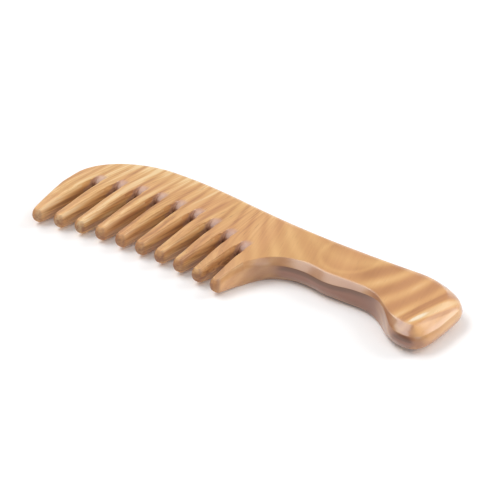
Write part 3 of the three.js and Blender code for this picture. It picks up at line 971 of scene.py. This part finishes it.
def wood_grain(tree, object_place):
    """Places in the wood, the number of the growth ring there, and the noises of the grain.

    Across is the way from the pith along X. It leans with the height on the comb, and wanders a little.
    A ring's number is (radius - start) / spacing, with sqrt(across^2 + depth^2) as the radius.
    """
    scale = {"Vector": object_place, "Scale": (1 / MM,) * 3}
    millimetres = put(tree, "ShaderNodeMapping", scale).outputs[0]
    x, y, z = put(tree, "ShaderNodeSeparateXYZ", {0: millimetres}).outputs
    lively = eased(tree, x, *CALM_X, 1.0, CALM_SHARE)
    wander = swing(tree, noise(tree, millimetres, WANDER_NOISE), WANDER_REACH, 0.0)
    wander = calc(tree, "MULTIPLY", wander, calc(tree, "MULTIPLY", lively, lively))
    lean = eased(tree, x, *NECK_LEAN_X, HEAD_LEAN, NECK_LEAN)
    lean = calc(tree, "ADD", lean, eased(tree, x, *END_LEAN_X, 0.0, END_LEAN - NECK_LEAN))
    height = calc(tree, "SUBTRACT", y, PITH_Y)
    across = calc(tree, "MULTIPLY_ADD", lean, height, calc(tree, "SUBTRACT", x, PITH_X))
    across = calc(tree, "ADD", across, wander)
    level = calc(tree, "MULTIPLY_ADD", z, RING_RISE, PITH_DEPTH - RING_RISE * THICKNESS / MM)
    depth = calc(tree, "MULTIPLY_ADD", height, -PITH_TILT, level)
    squares = calc(tree, "MULTIPLY_ADD", across, across, calc(tree, "MULTIPLY", depth, depth))
    radius = calc(tree, "SQRT", squares)
    ring = calc(tree, "DIVIDE", calc(tree, "SUBTRACT", radius, RING_START), RING_SPACING)
    place = put(tree, "ShaderNodeCombineXYZ", {"X": across, "Y": y, "Z": z}).outputs[0]
    fibre = noise(tree, place, FIBRE_NOISE)
    streak = noise(tree, place, STREAK_NOISE)
    broad = noise(tree, place, BROAD_NOISE)
    pore = eased(tree, noise(tree, place, PORE_NOISE), *PORE_SPOTS, 0.0, 1.0)
    return Grain(x, y, place, ring, lively, fibre, streak, broad, pore)


def ring_tone(tree, grain):
    """Tone of the growth rings: a middle tone, less a cosine of the ring and its second harmonic."""
    strength = eased(tree, grain.x, *NECK_RINGS_X, HEAD_RINGS, NECK_RINGS)
    end_strength = eased(tree, grain.x, *END_RINGS_X, 0.0, END_RINGS - NECK_RINGS)
    strength = calc(tree, "ADD", end_strength, strength)
    strength = calc(tree, "MULTIPLY", strength, swing(tree, grain.broad, RING_UNEVENNESS, 1.0))
    turn = calc(tree, "MULTIPLY", grain.ring, 2 * np.pi)
    narrow = calc(tree, "COSINE", calc(tree, "MULTIPLY", turn, 2.0))
    sharpness = eased(tree, grain.x, *NECK_RINGS_X, HEAD_RING_SHARPNESS, END_RING_SHARPNESS)
    wave = calc(tree, "MULTIPLY_ADD", narrow, sharpness, calc(tree, "COSINE", turn))
    return calc(tree, "MULTIPLY_ADD", calc(tree, "MULTIPLY", wave, -1.0), strength, MIDDLE_TONE)


def wood_tone(tree, grain):
    """Tone of the wood: its rings, the shades and lines along the grain, and the marks of this board."""
    x, y = grain.x, grain.y
    tone = swing(tree, grain.broad, BROAD_SWING, ring_tone(tree, grain))
    tone = calc(tree, "SUBTRACT", tone, eased(tree, x, *END_RINGS_X, 0.0, END_DARKNESS))
    band = eased(tree, grain.streak, *BAND_STREAKS, 0.0, 1.0)
    line = eased(tree, grain.fibre, *LINE_FIBRES, 0.0, 1.0)
    tone = swing(tree, band, calc(tree, "MULTIPLY", grain.lively, BAND_SWING), tone)
    tone = swing(tree, line, calc(tree, "MULTIPLY", grain.lively, LINE_SWING), tone)
    from_stripe = calc(tree, "ABSOLUTE", calc(tree, "SUBTRACT", x, BRIGHT_STRIPE_X))
    # The crest is paler, partly as a painted highlight
    crest_tone = eased(tree, x, *PALE_CREST_X, *PALE_CREST_TONES)
    marks = [
        eased(tree, from_stripe, 0.0, BRIGHT_STRIPE_HALF_WIDTH, BRIGHT_STRIPE_TONE, 0.0),
        eased(tree, x, *PALE_HEAD_X, PALE_HEAD_TONE, 0.0),
        eased(tree, y, *PALE_CREST_Y, 0.0, crest_tone),
        neck_eye(tree, x, y),
        grain_mark(tree, x, y, BAND_PLACE, BAND_SIZE, BAND_TONE),
    ]
    marks += [grain_mark(tree, x, y, place, DARK_LINE_SIZE, DARK_LINE_TONE) for place in DARK_LINE_PLACES]
    for mark in marks:
        tone = calc(tree, "ADD", tone, mark)
    return tone


def wood_colour(tree, grain):
    """Colour of the wood by its tone, with a blush, a painted highlight near the handle's end, and dark
    pores.
    """
    ramp = put(tree, "ShaderNodeValToRGB", {"Fac": wood_tone(tree, grain)})
    stops = ramp.color_ramp.elements
    stops[0].position, stops[0].color = DARKEST_WOOD
    stops[1].position, stops[1].color = PALEST_WOOD
    for position, shade in WOOD_BETWEEN:
        stops.new(position).color = shade
    blush = eased(tree, noise(tree, grain.place, BLUSH_NOISE), *BLUSH_PATCHES, 0.0, BLUSH_SHARE)
    colour = blend(tree, blush, ramp.outputs["Color"], BLUSH_WOOD)
    # Painted highlight near the handle's end
    painted_highlight = grain_mark(tree, grain.x, grain.y, PAINTED_HIGHLIGHT_PLACE, PAINTED_HIGHLIGHT_SIZE, PAINTED_HIGHLIGHT_SHARE)
    colour = blend(tree, painted_highlight, colour, PAINTED_HIGHLIGHT_CREAM)
    pore_shade = eased(tree, grain.lively, CALM_SHARE, 1.0, *PORE_SHADES)
    return blend(tree, calc(tree, "MULTIPLY", grain.pore, pore_shade), colour, PORE_BROWN)


def wear_and_painted_light(tree, grain, colour):
    """The colour with worn edges and their painted highlight, a painted pinkish reflection on the scoops,
    and painted shade on the sides and ends of the gaps.
    """
    # Edge wear, partly a painted highlight, in cream on pale streaks
    wear_and_highlight = eased(tree, grain.streak, *WEAR_HIGHLIGHT_STREAKS, *WEAR_HIGHLIGHT_SHARES)
    wear_and_highlight = calc(tree, "MULTIPLY", attribute(tree, "edge_wear_and_highlight"), wear_and_highlight)
    colour = blend(tree, wear_and_highlight, colour, CREAM_WOOD)
    # Painted pinkish reflection on the scoops
    scoop_reflection = calc(tree, "MULTIPLY", attribute(tree, "scooped"), SCOOP_REFLECTION_SHARE)
    colour = blend(tree, scoop_reflection, colour, PAINTED_SCOOP_REFLECTION)
    # Painted shade on the sides of the gaps, near black where it is deepest
    in_gap = attribute(tree, "painted_gap_shade")
    gap_shade = eased(tree, grain.fibre, *GAP_FIBRES, *GAP_SHADES)
    colour = blend(tree, calc(tree, "MULTIPLY", in_gap, gap_shade), colour, PAINTED_SHADE_BROWN)
    return blend(tree, eased(tree, in_gap, *GAP_END_FROM, 0.0, GAP_END_SHADE), colour, PAINTED_DEEP_SHADE_BROWN)


def end_grain_and_painted_wall_light(tree, normal, matt, colour):
    """The colour with dark end grain, a painted dark line of shade at the top of waxed low walls, and
    painted light at their foot.
    """
    _, back, up = put(tree, "ShaderNodeSeparateXYZ", {0: normal}).outputs
    across_fibres = calc(tree, "ABSOLUTE", back)
    end_grain = eased(tree, across_fibres, *SLOPE_FACING, 0.0, SLOPE_END_GRAIN)
    end_grain = calc(tree, "ADD", end_grain, eased(tree, across_fibres, *WALL_FACING, 0.0, WALL_END_GRAIN))
    end_grain = calc(tree, "MULTIPLY", end_grain, eased(tree, matt, MATT_SCOOP, 1.0, 1.0, TIP_END_GRAIN))
    colour = blend(tree, end_grain, colour, END_GRAIN_BROWN)
    # Painted dark line of shade below the corner of waxed low walls, and painted light at their foot
    waxed = eased(tree, matt, 0.0, MATT_SCOOP, 1.0, 0.0)
    low_wall = calc(tree, "MULTIPLY", eased(tree, back, *LOW_WALL_FACING, 1.0, 0.0), waxed)
    top = eased(tree, up, *WALL_TOP_FACING, 0.0, WALL_TOP_SHADE)
    colour = blend(tree, calc(tree, "MULTIPLY", low_wall, top), colour, PAINTED_SHADE_BROWN)
    foot = eased(tree, up, *WALL_FOOT_FACING, WALL_FOOT_LIGHT, 0.0)
    return blend(tree, calc(tree, "MULTIPLY", low_wall, foot), colour, WALL_FOOT_PAINTED_LIGHT)


def waxed_wood(name):
    """Solid wood in Object coordinates: rings, streaks, pores and dark end grain under a satin wax."""
    material = bpy.data.materials.new(name)
    material.use_nodes = True
    tree = material.node_tree
    coordinates = tree.nodes.new("ShaderNodeTexCoord").outputs
    grain = wood_grain(tree, coordinates["Object"])
    matt = attribute(tree, "matt")
    colour = wear_and_painted_light(tree, grain, wood_colour(tree, grain))
    colour = end_grain_and_painted_wall_light(tree, coordinates["Normal"], matt, colour)
    roughness = calc(tree, "MULTIPLY_ADD", grain.fibre, FIBRE_ROUGHNESS, WAX_ROUGHNESS)
    roughness = calc(tree, "MULTIPLY_ADD", matt, MATT_ROUGHNESS, roughness)
    relief = calc(tree, "MULTIPLY", grain.fibre, FIBRE_RELIEF)
    relief = calc(tree, "MULTIPLY_ADD", grain.pore, PORE_RELIEF, relief)
    bump = {"Strength": RELIEF_STRENGTH, "Distance": RELIEF_DEPTH * MM, "Height": relief}
    finish = {
        "Base Color": colour,
        "Roughness": roughness,
        "Coat Weight": eased(tree, matt, 0.0, 1.0, WAX_COAT, MATT_COAT),
        "Normal": put(tree, "ShaderNodeBump", bump).outputs["Normal"],
    }
    shader = tree.nodes["Principled BSDF"]
    shader.inputs["Coat Roughness"].default_value = COAT_ROUGHNESS
    for socket, value in finish.items():
        tree.links.new(value, shader.inputs[socket])
    return material


back_material = waxed_wood("waxed_back_wood")
handle_material = waxed_wood("waxed_handle_wood")
tooth_material = waxed_wood("waxed_tooth_wood")

comb_back(back_material)
comb_handle(handle_material)
for tooth in range(TOOTH_COUNT):
    comb_tooth(tooth, tooth_material)

# Stage, light and camera

WHITE = (1, 1, 1, 1)
FLOOR_SIZE = 8.0
FLOOR_SHADE = (0.95, 0.94, 0.94, 1)  # what the floor gives back to the comb
FLOOR_GLOW = 0.06  # what is added where the floor itself is seen
FLOOR_ROUGHNESS = 0.9
FLOOR_GLOSS = 0.1

# Lamps: direction from the comb, size, and the share of white to which they light a level surface
LAMP_DISTANCE = 2.4
LAMPS = {
    "left_lamp": ((-0.51, -0.15, 0.85), (2.5, 1.2), 0.54),
    "edge_lamp": ((0.48, 0.70, 0.52), (1.4, 1.4), 0.23),
    "right_lamp": ((0.80, -0.35, 0.50), (1.6, 1.6), 0.125),
}

# Light from all round, with a low bright backdrop behind the comb
HORIZON_LIGHT = 0.14
ZENITH_LIGHT = 0.60
BACKDROP_LIGHT = 0.8
BACKDROP_TOP = (0.2, 0.42)
BACKDROP_SIDES = (0.2, 0.7)

VIEW_AZIMUTH = np.radians(36)
VIEW_ELEVATION = np.radians(30)
VIEW_DISTANCE = 0.6
VIEW_TARGET = np.array([-2.85 * MM, 7.15 * MM, 0])
VIEW_LENS = 109.1
SENSOR_WIDTH = 36.0


def seen_rays(tree):
    """One for rays that come from the camera, straight or by way of a mirror or a glass, else zero."""
    rays = tree.nodes.new("ShaderNodeLightPath").outputs
    mirrored = calc(tree, "MAXIMUM", rays["Is Glossy Ray"], rays["Is Transmission Ray"])
    return calc(tree, "MAXIMUM", rays["Is Camera Ray"], mirrored)


def pale_floor():
    """A plain square that the comb lies on."""
    corners = FLOOR_SIZE / 2 * np.array([[-1, -1, 0], [1, -1, 0], [1, 1, 0], [-1, 1, 0]])
    mesh = bpy.data.meshes.new("pale_floor")
    mesh.from_pydata(corners.tolist(), [], [(0, 1, 2, 3)])
    material = bpy.data.materials.new("pale_floor")
    material.use_nodes = True
    tree = material.node_tree
    shader = tree.nodes["Principled BSDF"]
    shader.inputs["Base Color"].default_value = FLOOR_SHADE
    shader.inputs["Roughness"].default_value = FLOOR_ROUGHNESS
    shader.inputs["Specular IOR Level"].default_value = FLOOR_GLOSS
    shader.inputs["Emission Color"].default_value = WHITE
    glow = calc(tree, "MULTIPLY", seen_rays(tree), FLOOR_GLOW)
    tree.links.new(glow, shader.inputs["Emission Strength"])
    mesh.materials.append(material)
    floor = bpy.data.objects.new("pale_floor", mesh)
    bpy.context.collection.objects.link(floor)


def soft_lamp(name, direction, size, level):
    """A flat lamp that faces the comb and lights a level surface by the given share of white."""
    direction = unit(np.array(direction, float))
    light = bpy.data.lights.new(name, "AREA")
    light.shape = "RECTANGLE"
    light.size, light.size_y = size
    light.energy = level * np.pi**2 * LAMP_DISTANCE**2 / direction[2]
    lamp = bpy.data.objects.new(name, light)
    lamp.location = LAMP_DISTANCE * direction
    lamp.rotation_euler = (np.arccos(direction[2]), 0, np.arctan2(direction[0], -direction[1]))
    bpy.context.collection.objects.link(lamp)


def studio_world():
    """Soft light from above: its strength goes from the horizon's to the zenith's as height squared.

    Behind the comb stands a low bright backdrop, which is added to it.
    """
    world = bpy.data.worlds.new("studio")
    bpy.context.scene.world = world
    world.use_nodes = True
    tree = world.node_tree
    direction = tree.nodes.new("ShaderNodeTexCoord").outputs["Generated"]
    _, back, height = put(tree, "ShaderNodeSeparateXYZ", {0: direction}).outputs
    square = calc(tree, "MULTIPLY", height, height)
    strength = calc(tree, "MULTIPLY_ADD", square, ZENITH_LIGHT - HORIZON_LIGHT, HORIZON_LIGHT)
    low = eased(tree, height, *BACKDROP_TOP, BACKDROP_LIGHT, 0.0)
    behind = eased(tree, back, *BACKDROP_SIDES, 0.0, 1.0)
    strength = calc(tree, "ADD", strength, calc(tree, "MULTIPLY", low, behind))
    background = tree.nodes["Background"]
    background.inputs["Color"].default_value = WHITE
    tree.links.new(strength, background.inputs["Strength"])


def photo_camera():
    """A camera that looks at the target from the front, a little to the handle's side, from above."""
    level = np.cos(VIEW_ELEVATION)
    towards = np.array([np.sin(VIEW_AZIMUTH) * level, -np.cos(VIEW_AZIMUTH) * level, np.sin(VIEW_ELEVATION)])
    data = bpy.data.cameras.new("photo_camera")
    data.lens = VIEW_LENS
    data.sensor_width = SENSOR_WIDTH
    camera = bpy.data.objects.new("photo_camera", data)
    camera.location = VIEW_TARGET + VIEW_DISTANCE * towards
    camera.rotation_euler = (np.pi / 2 - VIEW_ELEVATION, 0, VIEW_AZIMUTH)
    bpy.context.collection.objects.link(camera)
    bpy.context.scene.camera = camera


pale_floor()
for name, (direction, size, level) in LAMPS.items():
    soft_lamp(name, direction, size, level)
studio_world()
photo_camera()
bpy.context.scene.view_settings.view_transform = "Standard"
